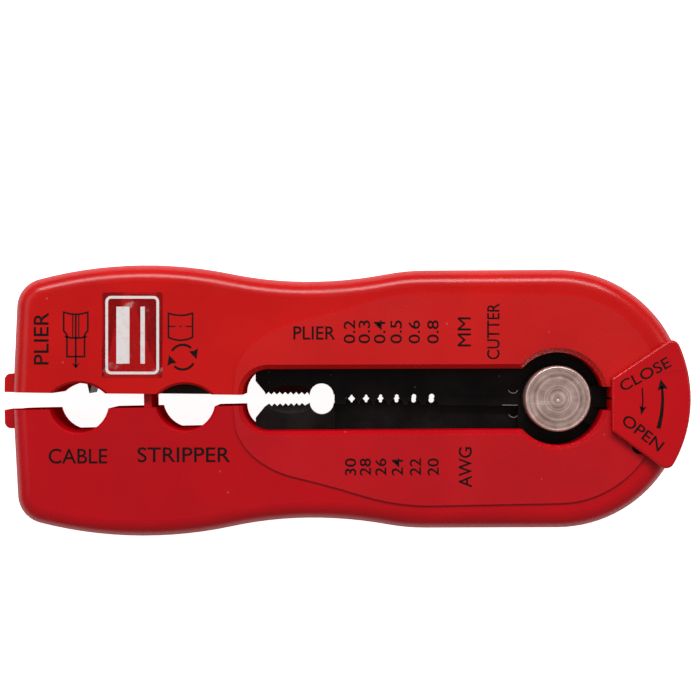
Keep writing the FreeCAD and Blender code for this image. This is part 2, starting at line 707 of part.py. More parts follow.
def make_fasteners(side):
    """Dowels that hold a blade, and the screws that hold the two shells together."""
    half = "upper" if side == UPPER else "lower"
    dowels = new_body(f"{half}_blade_dowels")
    pad(dowels, "pins", "back_inner + 1.2", "front_inner - 1.2", side=side,
        rounds=(DOWELS, "dowel_radius"))
    screws = new_body(f"{half}_case_screws")
    pad(screws, "shanks", "back_border + 3.2", "screw_tip", side=side,
        rounds=(CASE_SCREWS, "screw_radius"))
    pad(screws, "heads", "back_border + 1.6", "back_border + 3.2", side=side,
        rounds=(CASE_SCREWS, "screw_head_radius"))
    for name, wide, high in (("slot", 1.6, 0.3), ("cross_slot", 0.3, 1.6)):
        slots = [box(x - wide, y - high, x + wide, y + high) for x, y in CASE_SCREWS]
        pocket(screws, name, "back_border + 1.6", "back_border + 2.5", slots, side)
    return [place(item, side) for item in (dowels, screws)]


# ---------------------------------------------------------------- write the pieces

def check_and_write(pieces):
    for item in doc.Objects:
        if "Invalid" in item.State or "Error" in item.State:
            raise RuntimeError(f"{item.Name} failed: {item.State}")
    for piece in pieces:
        if piece.Shape.isNull() or not piece.Shape.isValid():
            raise RuntimeError(f"{piece.Label} has no valid shape")
    os.makedirs("parts", exist_ok=True)
    for piece in pieces:
        piece.Shape.exportStep(f"parts/{piece.Label}.step")
        extent = piece.Shape.BoundBox
        print(f"{piece.Label}: {len(piece.Shape.Solids)} solids, {piece.Shape.Volume:.1f} mm3, "
              f"x {extent.XMin:.1f}..{extent.XMax:.1f}, z {extent.ZMin:.2f}..{extent.ZMax:.2f}")


pieces = []
for side in (LOWER, UPPER):
    pieces += [make_shell(side, FRONT), make_shell(side, BACK), make_blade(side)]
    pieces += make_fasteners(side)
pieces += make_cable_blades() + make_hinge() + [make_spring()] + make_lever()
doc.recompute()
check_and_write(pieces)
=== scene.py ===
"""Wire stripper: the finishes, lettering, small hardware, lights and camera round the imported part."""

import json
import math

import bmesh
import bpy
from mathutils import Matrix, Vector


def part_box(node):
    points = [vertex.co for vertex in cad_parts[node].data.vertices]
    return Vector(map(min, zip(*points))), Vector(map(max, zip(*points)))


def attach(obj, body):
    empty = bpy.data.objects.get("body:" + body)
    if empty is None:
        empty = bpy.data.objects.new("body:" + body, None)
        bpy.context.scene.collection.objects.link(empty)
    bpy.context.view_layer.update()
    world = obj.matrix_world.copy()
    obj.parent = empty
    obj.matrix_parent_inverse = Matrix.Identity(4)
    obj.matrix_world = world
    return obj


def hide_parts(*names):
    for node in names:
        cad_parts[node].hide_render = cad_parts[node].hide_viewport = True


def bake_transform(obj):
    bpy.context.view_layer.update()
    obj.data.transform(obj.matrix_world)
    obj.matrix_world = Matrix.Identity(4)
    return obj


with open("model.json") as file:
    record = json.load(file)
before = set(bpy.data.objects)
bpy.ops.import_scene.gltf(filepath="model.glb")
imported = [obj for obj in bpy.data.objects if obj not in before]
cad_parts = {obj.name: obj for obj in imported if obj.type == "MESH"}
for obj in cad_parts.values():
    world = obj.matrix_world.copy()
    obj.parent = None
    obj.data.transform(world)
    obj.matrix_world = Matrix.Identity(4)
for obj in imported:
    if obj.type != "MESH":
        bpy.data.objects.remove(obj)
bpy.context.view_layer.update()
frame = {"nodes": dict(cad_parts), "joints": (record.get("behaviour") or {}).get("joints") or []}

MM = 0.001
HINGE = Vector(frame["joints"][0]["pos_m"])
BORDER_FACE = 19.4          # height of the outer front face, in mm
PANEL_FACE = 19.8           # height of the raised front panel
LEVER_FACE = 21.4           # height of the lever's face
UPPER_BLADE_FACE = 11.5     # front face of the upper blade
LOWER_BLADE_FACE = 9.45     # front face of the lower blade
HALF_OPEN = 0.8375          # turn of each half at rest, in degrees
PRINT_THICKNESS = 0.03
LINE_WIDTH = 0.3            # pen width of the printed symbols
PRINT_TURN = -0.28          # slant of the print's base line, in degrees


# ---------------------------------------------------------------- node trees

def add(tree, kind, inputs=None, **settings):
    """A node with its settings; inputs are values or sockets, by name or number."""
    node = tree.nodes.new(kind)
    for name, value in settings.items():
        setattr(node, name, value)
    for name, value in (inputs or {}).items():
        if isinstance(value, bpy.types.NodeSocket):
            tree.links.new(value, node.inputs[name])
        else:
            node.inputs[name].default_value = value
    return node


def calc(tree, operation, *values):
    """The result of a Math node."""
    inputs = dict(enumerate(values))
    return add(tree, "ShaderNodeMath", inputs, operation=operation).outputs[0]


def fade(tree, value, start, end, low=0.0, high=1.0):
    """The value brought smoothly from start..end to low..high."""
    inputs = {"Value": value, "From Min": start, "From Max": end, "To Min": low, "To Max": high}
    return add(tree, "ShaderNodeMapRange", inputs, interpolation_type="SMOOTHSTEP").outputs[0]


def noise(tree, place, scale, detail=2.0, rough=0.5):
    """Noise at a scale given in spots a metre."""
    inputs = {"Vector": place, "Scale": scale, "Detail": detail, "Roughness": rough}
    return add(tree, "ShaderNodeTexNoise", inputs).outputs[0]


def between(tree, share, first, second):
    """The colour a share of the way from the first to the second."""
    inputs = {0: share, 6: first, 7: second}
    return add(tree, "ShaderNodeMix", inputs, data_type="RGBA").outputs[2]


def object_place(tree):
    """Place on the object, in metres."""
    return add(tree, "ShaderNodeTexCoord").outputs["Object"]


def mapped(tree, place, move=(0, 0, 0), turn=(0, 0, 0), scale=(1, 1, 1)):
    """The place moved, turned and stretched."""
    inputs = {"Vector": place, "Location": move, "Rotation": turn, "Scale": scale}
    return add(tree, "ShaderNodeMapping", inputs).outputs[0]


def open_group(name, kind, inputs, outputs):
    """A node group with named sockets; returns it with its input and output nodes."""
    group = bpy.data.node_groups.new(name, kind)
    for label, value in inputs.items():
        sort = value if isinstance(value, str) else "NodeSocketFloat"
        socket = group.interface.new_socket(label, in_out="INPUT", socket_type=sort)
        if sort == "NodeSocketFloat":
            socket.default_value = value
    for label, sort in outputs.items():
        group.interface.new_socket(label, in_out="OUTPUT", socket_type=sort)
    return group, add(group, "NodeGroupInput").outputs, add(group, "NodeGroupOutput").inputs


FLOAT_OUT = "NodeSocketFloat"
GEOMETRY = "NodeSocketGeometry"


def moulded_grain_group():
    """Fine sparked grain over the long, low ripple of a moulded face."""
    group, given, result = open_group(
        "moulded_grain", "ShaderNodeTree",
        {"Grains per metre": 2600.0, "Ripples per metre": 130.0, "Grain": 1.0, "Ripple": 1.0},
        {"Height": FLOAT_OUT, "Tone": FLOAT_OUT})
    place = object_place(group)
    grain = noise(group, place, given["Grains per metre"], 3.0, 0.62)
    pits = add(group, "ShaderNodeTexVoronoi", {"Vector": place, "Scale": given["Grains per metre"]},
               feature="SMOOTH_F1").outputs[0]
    sparked = calc(group, "SUBTRACT", grain, calc(group, "MULTIPLY", pits, 0.35))
    ripple = noise(group, place, given["Ripples per metre"], 1.0, 0.4)
    height = calc(group, "ADD", calc(group, "MULTIPLY", sparked, given["Grain"]),
                  calc(group, "MULTIPLY", ripple, given["Ripple"]))
    group.links.new(height, result["Height"])
    group.links.new(fade(group, noise(group, place, 55.0, 3.0, 0.6), 0.3, 0.7), result["Tone"])
    return group


def handling_marks_group():
    """Hairline scuffs in two directions, finger smudges and specks of dust."""
    group, given, result = open_group(
        "handling_marks", "ShaderNodeTree",
        {"Scuffs per metre": 900.0, "Smudges per metre": 90.0, "Dust": 0.1},
        {"Scuff": FLOAT_OUT, "Smudge": FLOAT_OUT, "Speck": FLOAT_OUT})
    place = object_place(group)
    scuffs = []
    for turn, move in ((0.5, 0.0), (-0.8, 0.7)):
        streaked = mapped(group, place, (move, 0, 0), (0, 0, turn), (0.04, 1.0, 0.3))
        lines = noise(group, streaked, given["Scuffs per metre"], 2.0, 0.7)
        scuffs.append(fade(group, lines, 0.68, 0.74))
    patches = noise(group, place, given["Smudges per metre"], 2.0, 0.55)
    marks = calc(group, "MULTIPLY", calc(group, "MAXIMUM", *scuffs), fade(group, patches, 0.45, 0.62))
    dots = add(group, "ShaderNodeTexVoronoi", {"Vector": place, "Scale": 700.0})
    small = fade(group, dots.outputs["Distance"], 0.16, 0.1)
    luck = add(group, "ShaderNodeSeparateColor", {"Color": dots.outputs["Color"]}).outputs[0]
    few = calc(group, "LESS_THAN", luck, given["Dust"])
    group.links.new(marks, result["Scuff"])
    group.links.new(fade(group, patches, 0.35, 0.75), result["Smudge"])
    group.links.new(calc(group, "MULTIPLY", small, few), result["Speck"])
    return group


def steel_bloom_group():
    """Drawn lines and clouded patches of rolled or plated steel."""
    group, given, result = open_group(
        "steel_bloom", "ShaderNodeTree",
        {"Lines per metre": 5000.0, "Clouds per metre": 160.0},
        {"Tone": FLOAT_OUT, "Lines": FLOAT_OUT})
    place = object_place(group)
    drawn = mapped(group, place, scale=(0.03, 1.0, 0.6))
    group.links.new(noise(group, drawn, given["Lines per metre"], 2.0, 0.6), result["Lines"])
    clouds = noise(group, place, given["Clouds per metre"], 4.0, 0.65)
    group.links.new(fade(group, clouds, 0.3, 0.72), result["Tone"])
    return group


def edge_wear_group():
    """Where an edge is, out to the reach given."""
    group, given, result = open_group(
        "edge_wear", "ShaderNodeTree", {"Reach": 0.0003}, {"Edge": FLOAT_OUT})
    rounded = add(group, "ShaderNodeBevel", {"Radius": given["Reach"]}, samples=4).outputs[0]
    true = add(group, "ShaderNodeNewGeometry").outputs["Normal"]
    aligned = add(group, "ShaderNodeVectorMath", {0: rounded, 1: true},
                  operation="DOT_PRODUCT").outputs["Value"]
    group.links.new(fade(group, aligned, 0.985, 0.85), result["Edge"])
    return group


GRAIN = moulded_grain_group()
MARKS = handling_marks_group()
BLOOM = steel_bloom_group()
WEAR = edge_wear_group()


def use(tree, group, **values):
    """The group placed in a tree; underscores in the names stand for spaces."""
    node = add(tree, "ShaderNodeGroup", node_tree=group)
    for name, value in values.items():
        node.inputs[name.replace("_", " ")].default_value = value
    return node.outputs


# ---------------------------------------------------------------- materials

def new_material(name, **sockets):
    """A material with its Principled shader; underscores in the names stand for spaces."""
    material = bpy.data.materials.new(name)
    material.use_nodes = True
    tree = material.node_tree
    shader = tree.nodes["Principled BSDF"]
    for label, value in sockets.items():
        shader.inputs[label.replace("_", " ")].default_value = value
    return material, tree, shader.inputs


def bump(tree, shader, height, depth_mm):
    """Relief of the given depth on the shader."""
    inputs = {"Height": height, "Distance": depth_mm * MM, "Strength": 1.0}
    tree.links.new(add(tree, "ShaderNodeBump", inputs).outputs[0], shader["Normal"])


def moulded_plastic(name, colour, deep, panels=True):
    """Glossy moulded plastic; the front and back panels are sparked to a satin."""
    material, tree, shader = new_material(name, IOR=1.5, Coat_Roughness=0.14)
    grazing = add(tree, "ShaderNodeLayerWeight", {"Blend": 0.5}).outputs["Facing"]
    tree.links.new(fade(tree, grazing, 0.55, 0.84, 0.3, 0.0), shader["Specular IOR Level"])
    tree.links.new(fade(tree, grazing, 0.55, 0.84, 0.15, 0.0), shader["Coat Weight"])
    grain = use(tree, GRAIN, Grains_per_metre=2600.0, Ripples_per_metre=130.0, Grain=0.0, Ripple=1.0)
    marks = use(tree, MARKS, Scuffs_per_metre=900.0, Smudges_per_metre=80.0, Dust=0.02)
    satin = 0.0
    if panels:
        z = add(tree, "ShaderNodeSeparateXYZ", {0: object_place(tree)}).outputs[2]
        front = fade(tree, z, (BORDER_FACE + 0.2) * MM, (PANEL_FACE - 0.05) * MM)
        back = fade(tree, z, 0.3 * MM, 0.1 * MM)
        satin = calc(tree, "MAXIMUM", front, back)
        tree.links.new(satin, grain["Height"].node.inputs["Grain"])
    gloss = calc(tree, "ADD", 0.24, calc(tree, "MULTIPLY", satin, 0.16))
    gloss = calc(tree, "ADD", gloss, calc(tree, "MULTIPLY", marks["Smudge"], 0.07))
    gloss = calc(tree, "ADD", gloss, calc(tree, "MULTIPLY", marks["Scuff"], 0.05))
    tree.links.new(gloss, shader["Roughness"])
    cloudy = between(tree, grain["Tone"], colour, deep)
    dusty = calc(tree, "MULTIPLY", marks["Speck"], 0.12)
    tree.links.new(between(tree, dusty, cloudy, (0.8, 0.62, 0.58, 1)), shader["Base Color"])
    bump(tree, shader, grain["Height"], 0.028)
    return material


def blackened_steel():
    """Black oxide on blanked steel, with drawn lines, dust and rubbed edges."""
    material, tree, shader = new_material("blackened_steel", Metallic=0.65, Specular_IOR_Level=0.35)
    bloom = use(tree, BLOOM, Lines_per_metre=4200.0, Clouds_per_metre=110.0)
    marks = use(tree, MARKS, Scuffs_per_metre=1100.0, Smudges_per_metre=120.0, Dust=0.16)
    wear = use(tree, WEAR, Reach=0.00018)
    colour = between(tree, bloom["Tone"], (0.008, 0.007, 0.007, 1), (0.02, 0.017, 0.016, 1))
    rubbed = calc(tree, "MAXIMUM", calc(tree, "MULTIPLY", wear["Edge"], 0.10),
                  calc(tree, "MULTIPLY", marks["Scuff"], 0.08))
    colour = between(tree, rubbed, colour, (0.34, 0.27, 0.24, 1))
    colour = between(tree, calc(tree, "MULTIPLY", marks["Speck"], 0.35), colour, (0.32, 0.3, 0.29, 1))
    tree.links.new(colour, shader["Base Color"])
    gloss = calc(tree, "ADD", 0.33, calc(tree, "MULTIPLY", bloom["Tone"], 0.16))
    tree.links.new(gloss, shader["Roughness"])
    bump(tree, shader, bloom["Lines"], 0.006)
    return material


def hardened_blade_steel():
    """Dark steel of the two small cable blades, its red-brown tint a painted reflection of the red
    handle, bright along the ground edge.
    """
    material, tree, shader = new_material("dark_blade_steel", Metallic=0.8)
    bloom = use(tree, BLOOM, Lines_per_metre=6000.0, Clouds_per_metre=240.0)
    wear = use(tree, WEAR, Reach=0.00022)
    # Painted reflection: the brown-red tint of both base colours stands in for the red handle mirrored
    # in the recessed blades.
    colour = between(tree, bloom["Tone"], (0.018, 0.010, 0.008, 1), (0.05, 0.028, 0.020, 1))
    colour = between(tree, calc(tree, "MULTIPLY", wear["Edge"], 0.12), colour, (0.4, 0.36, 0.34, 1))
    tree.links.new(colour, shader["Base Color"])
    tree.links.new(calc(tree, "ADD", 0.28, calc(tree, "MULTIPLY", bloom["Tone"], 0.14)),
                   shader["Roughness"])
    bump(tree, shader, bloom["Lines"], 0.005)
    return material


def turned_steel():
    """Faced steel of the hinge pin: tool rings about the hinge, painted lighter and darker as sheen,
    and a bright rose tone painted in for the red handle's reflection.
    """
    material, tree, shader = new_material("turned_steel", Metallic=0.6, Anisotropic=0.3)
    centred = mapped(tree, object_place(tree), (-HINGE.x, -HINGE.y, 0.0), scale=(1, 1, 0))
    radius = add(tree, "ShaderNodeVectorMath", {0: centred}, operation="LENGTH").outputs["Value"]
    along = add(tree, "ShaderNodeCombineXYZ", {0: radius}).outputs[0]
    fine = noise(tree, along, 9000.0, 3.0, 0.7)
    coarse = noise(tree, along, 1500.0, 2.0, 0.6)
    rings = calc(tree, "ADD", calc(tree, "MULTIPLY", fine, 0.6), calc(tree, "MULTIPLY", coarse, 0.8))
    bloom = use(tree, BLOOM, Lines_per_metre=3000.0, Clouds_per_metre=420.0)
    marks = use(tree, MARKS, Scuffs_per_metre=1500.0, Smudges_per_metre=260.0, Dust=0.05)
    # Painted sheen and reflection: rings and clouds move the colour from dark brown to bright rose.
    # This stands in for the light the faced head catches and for the red it reflects.
    wear_and_sheen = calc(tree, "ADD", calc(tree, "MULTIPLY", fade(tree, rings, 0.5, 0.9), 0.75),
                calc(tree, "MULTIPLY", bloom["Tone"], 0.25))
    colour = between(tree, wear_and_sheen, (0.26, 0.14, 0.115, 1), (0.98, 0.72, 0.64, 1))
    colour = between(tree, calc(tree, "MULTIPLY", marks["Scuff"], 0.5), colour, (0.9, 0.84, 0.8, 1))
    tree.links.new(colour, shader["Base Color"])
    tree.links.new(calc(tree, "ADD", 0.3, calc(tree, "MULTIPLY", bloom["Tone"], 0.14)),
                   shader["Roughness"])
    bump(tree, shader, rings, 0.02)
    return material


def plated_steel(name, light, dark, gloss=0.26):
    """Zinc or nickel plate: slightly clouded, with hairline scuffs."""
    material, tree, shader = new_material(name, Metallic=1.0)
    bloom = use(tree, BLOOM, Lines_per_metre=3600.0, Clouds_per_metre=300.0)
    marks = use(tree, MARKS, Scuffs_per_metre=1300.0, Smudges_per_metre=200.0, Dust=0.04)
    wear = use(tree, WEAR, Reach=0.00025)
    colour = between(tree, bloom["Tone"], light, dark)
    colour = between(tree, calc(tree, "MULTIPLY", wear["Edge"], 0.45), colour, (0.86, 0.84, 0.8, 1))
    tree.links.new(colour, shader["Base Color"])
    rough = calc(tree, "ADD", gloss, calc(tree, "MULTIPLY", marks["Smudge"], 0.12))
    tree.links.new(calc(tree, "ADD", rough, calc(tree, "MULTIPLY", marks["Scuff"], 0.2)),
                   shader["Roughness"])
    bump(tree, shader, bloom["Lines"], 0.004)
    return material


def print_ink():
    """Pad-printed ink, thin enough for the red to warm it here and there."""
    material, tree, shader = new_material("print_ink", IOR=1.45, Specular_IOR_Level=0.25)
    grain = use(tree, GRAIN, Grains_per_metre=3500.0, Ripples_per_metre=900.0, Grain=0.6, Ripple=1.0)
    thin = fade(tree, noise(tree, object_place(tree), 1400.0, 3.0, 0.7), 0.5, 0.8, 0.0, 0.35)
    tree.links.new(between(tree, thin, (0.007, 0.002, 0.002, 1), (0.12, 0.006, 0.006, 1)),
                   shader["Base Color"])
    tree.links.new(calc(tree, "ADD", 0.38, calc(tree, "MULTIPLY", grain["Tone"], 0.12)),
                   shader["Roughness"])
    bump(tree, shader, grain["Height"], 0.004)
    return material


def clear_film():
    """Clear label stock, with air trapped in small patches."""
    material, tree, shader = new_material("clear_film", IOR=1.46)
    place = object_place(tree)
    air = fade(tree, noise(tree, place, 260.0, 3.0, 0.55), 0.6, 0.72)
    tree.links.new(between(tree, air, (0.40, 0.012, 0.02, 1), (0.9, 0.5, 0.48, 1)),
                   shader["Base Color"])
    tree.links.new(calc(tree, "ADD", 0.1, calc(tree, "MULTIPLY", air, 0.3)), shader["Roughness"])
    tree.links.new(calc(tree, "ADD", 0.14, calc(tree, "MULTIPLY", air, 0.26)), shader["Alpha"])
    bump(tree, shader, noise(tree, place, 260.0, 2.0, 0.5), 0.03)
    return material


def label_ink():
    """White screen ink of the plain label frame."""
    material, tree, shader = new_material("label_ink")
    wear_and_sheen = fade(tree, noise(tree, object_place(tree), 900.0, 3.0, 0.6), 0.45, 0.75, 0.0, 0.5)
    tree.links.new(between(tree, wear_and_sheen, (0.86, 0.8, 0.79, 1), (0.78, 0.5, 0.48, 1)),
                   shader["Base Color"])
    tree.links.new(calc(tree, "ADD", 0.35, calc(tree, "MULTIPLY", wear_and_sheen, 0.3)), shader["Roughness"])
    return material


# The lower half's red is set darker than the upper half's: painted shade for the light falling from the
# upper side.
UPPER_RED = moulded_plastic("upper_red_plastic", (0.64, 0.005, 0.004, 1), (0.57, 0.003, 0.003, 1))
LOWER_RED_PAINTED_SHADE = moulded_plastic("lower_red_plastic_painted_shade", (0.58, 0.001, 0.007, 1), (0.51, 0.001, 0.006, 1))
LEVER_RED = moulded_plastic("lever_red_plastic", (0.61, 0.002, 0.006, 1), (0.55, 0.001, 0.005, 1),
                            panels=False)
BLACK = blackened_steel()
DARK_BLADE_STEEL = hardened_blade_steel()
TURNED = turned_steel()
ZINC = plated_steel("zinc_plate", (0.62, 0.61, 0.58, 1), (0.42, 0.42, 0.43, 1))
WASHER = plated_steel("washer_plate", (0.5, 0.5, 0.5, 1), (0.3, 0.3, 0.31, 1), 0.32)
# Bright steel for the painted highlights on the blades' dimple lips and lap step.
PAINTED_HIGHLIGHT_STEEL = plated_steel("painted_highlight_steel", (0.9, 0.84, 0.8, 1), (0.7, 0.62, 0.58, 1))
MUSIC_WIRE = plated_steel("spring_wire", (0.4, 0.39, 0.38, 1), (0.22, 0.21, 0.2, 1), 0.3)
INK = print_ink()
FILM = clear_film()
LABEL_INK = label_ink()

# finish of each CAD node
CAD_FINISH = {
    "upper_front_shell": UPPER_RED, "upper_back_shell": UPPER_RED,
    "lower_front_shell": LOWER_RED_PAINTED_SHADE, "lower_back_shell": LOWER_RED_PAINTED_SHADE,
    "lock_lever_cover": LEVER_RED,
    "upper_stripping_blade": BLACK, "lower_stripping_blade": BLACK,
    "slitting_blade": DARK_BLADE_STEEL, "ring_blade": DARK_BLADE_STEEL,
    "wave_washer": BLACK, "pivot_washer": WASHER, "lock_plate": BLACK,
    "upper_blade_dowels": ZINC, "lower_blade_dowels": ZINC,
    "slitting_blade_pin": ZINC, "ring_blade_screw": ZINC, "lock_lever_screw": ZINC,
    "upper_case_screws": ZINC, "lower_case_screws": ZINC,
    "pivot_pin": TURNED, "pivot_nut": ZINC, "return_spring": MUSIC_WIRE,
}
for node, material in CAD_FINISH.items():
    for socket in frame["nodes"][node].material_slots:
        socket.material = material


# ---------------------------------------------------------------- meshes

def new_piece(name, points, faces, material, sharp=35.0):
    """A piece in metres from points in millimetres, shaded smooth up to the sharp angle."""
    mesh = bpy.data.meshes.new(name)
    mesh.from_pydata([Vector(point) * MM for point in points], [], faces)
    mesh.validate()
    return finish_piece(name, mesh, material, sharp)


def finish_piece(name, mesh, material, sharp=35.0):
    """A piece from a mesh, its normals turned outward."""
    solid = bmesh.new()
    solid.from_mesh(mesh)
    bmesh.ops.recalc_face_normals(solid, faces=solid.faces)
    solid.to_mesh(mesh)
    solid.free()
    mesh.shade_smooth()
    mesh.set_sharp_from_angle(angle=math.radians(sharp))
    mesh.materials.clear()
    mesh.materials.append(material)
    piece = bpy.data.objects.new(name, mesh)
    bpy.context.scene.collection.objects.link(piece)
    return piece


def evaluated(piece):
    """The piece's mesh with its modifiers applied."""
    bpy.context.view_layer.update()
    graph = bpy.context.evaluated_depsgraph_get()
    return bpy.data.meshes.new_from_object(piece.evaluated_get(graph), depsgraph=graph)


def remove(*pieces):
    """Take helper pieces out of the scene."""
    for piece in pieces:
        bpy.data.objects.remove(piece)


def turned(outline, segments=64, centre=(0.0, 0.0)):
    """Points and faces of a turned solid; the outline is (radius, height) from pole to pole."""
    points, faces, rings = [], [], []
    for radius, height in outline:
        count = segments if radius > 0 else 1
        rings.append([len(points) + i for i in range(count)])
        for i in range(count):
            angle = 2 * math.pi * i / segments
            points.append((centre[0] + radius * math.cos(angle),
                           centre[1] + radius * math.sin(angle), height))
    for below, above in zip(rings, rings[1:]):
        for i in range(segments):
            k = (i + 1) % segments
            corners = [below[i % len(below)], below[k % len(below)],
                       above[k % len(above)], above[i % len(above)]]
            faces.append(tuple(dict.fromkeys(corners)))
    return points, faces


def thread(radius, depth, low, high, pitch=0.5):
    """Outline of a thread's ridges between two heights."""
    turns = int((high - low) / pitch)
    outline = []
    for i in range(turns):
        start = low + i * pitch
        outline += [(radius - depth, start), (radius, start + pitch * 0.5)]
    return outline + [(radius - depth, low + turns * pitch)]


def hinge_pin():
    """Hinge pin: threaded tail, shank, and a faced head with a bright rim and a centre mark."""
    low, high = (corner.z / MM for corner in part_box("pivot_pin"))
    head_radius = (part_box("pivot_pin")[1].x - HINGE.x) / MM
    rim, dimple, tool_step = head_radius - 0.32, 0.3, 0.26
    outline = [(0, low), (2.35, low)] + thread(2.97, 0.3, low + 0.45, low + 3.2)
    outline += [(3.0, low + 3.6), (3.0, 13.15), (3.15, 13.4), (head_radius - 0.25, 13.4),
                (head_radius, 13.65), (head_radius, high - 0.24), (rim + 0.06, high - 0.02),
                (rim - 0.05, high - 0.015), (rim - 0.15, high - 0.075)]
    radius = rim - 0.28
    while radius > dimple + tool_step:
        outline += [(radius, high - 0.045), (radius - tool_step / 2, high - 0.075)]
        radius -= tool_step
    outline += [(dimple, high - 0.06), (0.1, high - 0.2), (0, high - 0.22)]
    points, faces = turned(outline, 96, (HINGE.x / MM, HINGE.y / MM))
    pin = new_piece("hinge_pin", points, faces, TURNED, 50.0)
    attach(pin, "lower_half")
    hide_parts("pivot_pin")


def hinge_nut():
    """Thin hexagon nut, its corners turned off at both faces, on the pin's threaded tail."""
    low, high = (corner.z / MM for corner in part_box("pivot_nut"))
    across = (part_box("pivot_nut")[1].y - HINGE.y) / MM
    around, bore, slope = 96, 3.02, math.tan(math.radians(30))
    heights = [low, low + 0.12, low + 0.3, low + 0.5, high - 0.5, high - 0.3, high - 0.12, high]
    rings = []
    for height in heights:
        turned_off = across * 0.97 + min(height - low, high - height) / slope
        rings.append([(min(across / math.cos((2 * math.pi * i / around) % (math.pi / 3) - math.pi / 6),
                           turned_off), height) for i in range(around)])
    inner = [(bore + 0.45, high)] + [(r, z) for r, z in reversed(thread(bore + 0.3, 0.3, low + 0.4,
                                                                        high - 0.3))]
    inner.append((bore + 0.45, low))
    rings += [[spot] * around for spot in inner]
    points = [(HINGE.x / MM + r * math.cos(2 * math.pi * i / around),
               HINGE.y / MM + r * math.sin(2 * math.pi * i / around), z)
              for ring in rings for i, (r, z) in enumerate(ring)]
    faces = []
    for ring in range(len(rings)):
        following = (ring + 1) % len(rings)
        for i in range(around):
            k = (i + 1) % around
            faces.append((ring * around + i, ring * around + k,
                          following * around + k, following * around + i))
    nut = new_piece("hinge_nut", points, faces, ZINC, 28.0)
    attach(nut, "lower_half")
    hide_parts("pivot_nut")


def case_screw():
    """One self-tapping screw, head down, its cross recess cut in the head; origin at the head."""
    outline = [(0, 0), (1.55, 0.02), (2.1, 0.16), (2.42, 0.5), (2.5, 0.95), (2.5, 1.4), (2.38, 1.6),
               (1.3, 1.6)]
    for i in range(11):
        start = 1.75 + i * 0.98
        outline += [(0.95, start), (0.95, start + 0.5), (1.29, start + 0.74)]
    outline += [(0.9, 12.6), (0.45, 13.2), (0, 13.5)]
    points, faces = turned(outline, 40)
    screw = new_piece("screw_blank", points, faces, ZINC)
    wide, narrow, depth, floor = 1.45, 0.27, 1.15, 0.55
    cross = [(wide, -narrow), (wide, narrow), (narrow, narrow), (narrow, wide), (-narrow, wide),
             (-narrow, narrow), (-wide, narrow), (-wide, -narrow), (-narrow, -narrow),
             (-narrow, -wide), (narrow, -wide), (narrow, -narrow)]
    points = [(x, y, -0.3) for x, y in cross] + [(x * floor, y * floor, depth) for x, y in cross]
    count = len(cross)
    faces = [(i, (i + 1) % count, (i + 1) % count + count, i + count) for i in range(count)]
    faces += [tuple(range(count)), tuple(range(count, 2 * count))]
    driver = new_piece("driver_tip", points, faces, ZINC)
    cut = screw.modifiers.new("cross_recess", "BOOLEAN")
    cut.object, cut.operation, cut.solver = driver, "DIFFERENCE", "EXACT"
    mesh = evaluated(screw)
    remove(screw, driver)
    return finish_piece("screw_pattern", mesh, ZINC)


def screw_seats(node):
    """The middle of each screw head of a CAD node, found as islands along the handle."""
    points = sorted((v.co for v in frame["nodes"][node].data.vertices), key=lambda co: co.x)
    islands = [[points[0]]]
    for point in points[1:]:
        if point.x - islands[-1][-1].x > 5 * MM:
            islands.append([])
        islands[-1].append(point)
    seats = []
    for island in islands:
        low = [min(point[i] for point in island) for i in range(3)]
        high = [max(point[i] for point in island) for i in range(3)]
        seats.append(((low[0] + high[0]) / 2, (low[1] + high[1]) / 2, low[2]))
    return seats


def screw_row_tree():
    """Geometry nodes: one screw at each point, each turned to its own angle."""
    tree, given, result = open_group(
        "screw_row", "GeometryNodeTree",
        {"Seats": GEOMETRY, "Screw": "NodeSocketObject", "Largest turn": 3.1,
         "Plate": "NodeSocketMaterial"}, {"Screws": GEOMETRY})
    tree.is_modifier = True
    turns = add(tree, "FunctionNodeRandomValue", {"Max": (0, 0, 0), "Seed": 11},
                data_type="FLOAT_VECTOR")
    largest = add(tree, "ShaderNodeCombineXYZ", {2: given["Largest turn"]}).outputs[0]
    tree.links.new(largest, turns.inputs[1])
    screw = add(tree, "GeometryNodeObjectInfo", {"Object": given["Screw"], "As Instance": True})
    placed = add(tree, "GeometryNodeInstanceOnPoints",
                 {"Points": given["Seats"], "Instance": screw.outputs["Geometry"],
                  "Rotation": turns.outputs[0]})
    real = add(tree, "GeometryNodeRealizeInstances", {"Geometry": placed.outputs[0]})
    plated = add(tree, "GeometryNodeSetMaterial",
                 {"Geometry": real.outputs[0], "Material": given["Plate"]})
    tree.links.new(plated.outputs[0], result["Screws"])
    return tree


def wire_tree():
    """Geometry nodes: a round wire with closed ends along a line of edges."""
    tree, given, result = open_group(
        "wire_along_path", "GeometryNodeTree",
        {"Path": GEOMETRY, "Radius": 0.00045, "Finish": "NodeSocketMaterial"}, {"Wire": GEOMETRY})
    tree.is_modifier = True
    line = add(tree, "GeometryNodeMeshToCurve", {"Mesh": given["Path"]})
    section = add(tree, "GeometryNodeCurvePrimitiveCircle",
                  {"Resolution": 14, "Radius": given["Radius"]})
    tube = add(tree, "GeometryNodeCurveToMesh",
               {"Curve": line.outputs[0], "Profile Curve": section.outputs[0], "Fill Caps": True})
    real = add(tree, "GeometryNodeRealizeInstances", {"Geometry": tube.outputs[0]})
    drawn = add(tree, "GeometryNodeSetMaterial",
                {"Geometry": real.outputs[0], "Material": given["Finish"]})
    tree.links.new(drawn.outputs[0], result["Wire"])
    return tree


